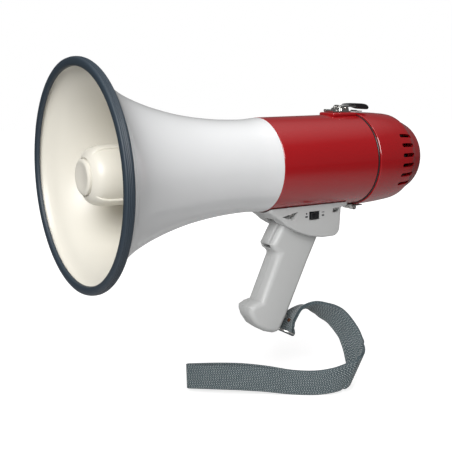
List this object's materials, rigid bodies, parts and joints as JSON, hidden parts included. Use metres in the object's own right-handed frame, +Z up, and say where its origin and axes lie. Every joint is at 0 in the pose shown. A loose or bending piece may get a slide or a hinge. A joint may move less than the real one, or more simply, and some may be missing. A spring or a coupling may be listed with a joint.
{
  "type": "handheld megaphone",
  "caption": "Pistol-grip megaphone: re-entrant horn with rubber rim, cylindrical body, latched drop-down vented rear cover, trigger, slide switch and webbing wrist strap.",
  "frame": {"origin": "middle of the hand grip, in the object's plane of symmetry", "axes": "+X along the horn's axis, from its mouth to its rear cover; +Y to the far side; +Z up"},
  "size_m": [0.392, 0.21, 0.3388],
  "materials": {
    "white_plastic": "gloss moulded ABS, off-white",
    "red_plastic": "gloss moulded ABS, deep red",
    "grey_plastic": "satin moulded ABS, pale warm grey",
    "black_plastic": "satin black",
    "rim_rubber": "ribbed slate rubber",
    "chrome": "nickel plated pressings",
    "steel": "zinc plated screws, pins and springs",
    "ferrite": "dark sintered ferrite",
    "copper": "enamelled winding and resin dome",
    "board": "green circuit board with its parts",
    "cell": "printed cell jacket, plain",
    "webbing": "woven slate webbing"
  },
  "bodies": {
    "root": {"amplifier_board": "board", "battery_carrier": "black_plastic", "battery_cell_1": "cell", "battery_cell_2": "cell", "battery_cell_3": "cell", "battery_cell_4": "cell", "battery_cell_5": "cell", "battery_cell_6": "cell", "body_shell": "red_plastic", "driver_diaphragm": "copper", "driver_frame": "black_plastic", "driver_magnet": "ferrite", "driver_yoke": "steel", "grip_screw_1": "steel", "grip_screw_2": "steel", "grip_screw_3": "steel", "handle_left": "grey_plastic", "handle_right": "grey_plastic", "hinge_front_leaf": "chrome", "hinge_pin": "chrome", "hinge_rivet_front": "chrome", "horn_bell": "white_plastic", "housing_screw_1": "steel", "housing_screw_2": "steel", "housing_screw_3": "steel", "housing_screw_4": "steel", "latch_base": "chrome", "latch_pin": "chrome", "latch_rivet": "chrome", "latch_spring": "steel", "microswitch": "black_plastic", "mode_switch_body": "black_plastic", "reflector": "white_plastic", "reflector_cap": "white_plastic", "rim_guard": "rim_rubber", "seal_gasket": "black_plastic", "strap_lug": "steel", "strap_screw": "steel", "throat_plate": "white_plastic", "trigger_pin": "steel", "trigger_spring": "steel", "voice_coil": "copper"},
    "trigger": {"trigger": "grey_plastic"},
    "mode_switch": {"mode_switch_knob": "black_plastic"},
    "rear_cover": {"rear_cover": "red_plastic", "microphone_holder": "black_plastic", "microphone_capsule": "steel", "volume_pot": "steel", "latch_keeper": "chrome", "hinge_rear_leaf": "chrome", "hinge_rivet_rear": "chrome"},
    "volume_knob": {"volume_knob": "black_plastic"},
    "latch": {"latch_arm": "chrome", "latch_grip": "black_plastic"},
    "strap_ring": {"strap_ring": "chrome"},
    "strap": {"wrist_strap": "webbing", "strap_rivet_1": "steel", "strap_rivet_2": "steel"}
  },
  "joints": [
    {"name": "trigger_pull", "type": "hinge", "parent": "root", "child": "trigger", "pos_m": [-0.0005, 0, 0.057], "axis": [0, -1, 0], "range_deg": [0, 8], "stiffness_Nm_per_rad": 0.2, "springref_deg": -11.46},
    {"name": "mode_switch_slide", "type": "slide", "parent": "root", "child": "mode_switch", "axis": [1, 0, 0], "range_m": [0, 0.006]},
    {"name": "cover_hinge", "type": "hinge", "parent": "root", "child": "rear_cover", "pos_m": [0.0936, 0, 0.0657], "axis": [0, 1, 0], "range_deg": [0, 100]},
    {"name": "latch_lift", "type": "hinge", "parent": "root", "child": "latch", "pos_m": [0.078, 0, 0.1726], "axis": [0, -1, 0], "range_deg": [0, 85], "stiffness_Nm_per_rad": 0.05, "springref_deg": -17.19},
    {"name": "volume_turn", "type": "hinge", "parent": "rear_cover", "child": "volume_knob", "pos_m": [0.165, 0, 0.118], "axis": [1, 0, 0], "range_deg": [0, 300]},
    {"name": "ring_swing", "type": "hinge", "parent": "root", "child": "strap_ring", "pos_m": [-0.0013, 0, -0.0562], "axis": [0, 1, 0], "range_deg": [-10, 10]},
    {"name": "strap_swing", "type": "hinge", "parent": "strap_ring", "child": "strap", "pos_m": [0.01, 0, -0.0615], "axis": [0, 1, 0], "range_deg": [-10, 10]}
  ]
}
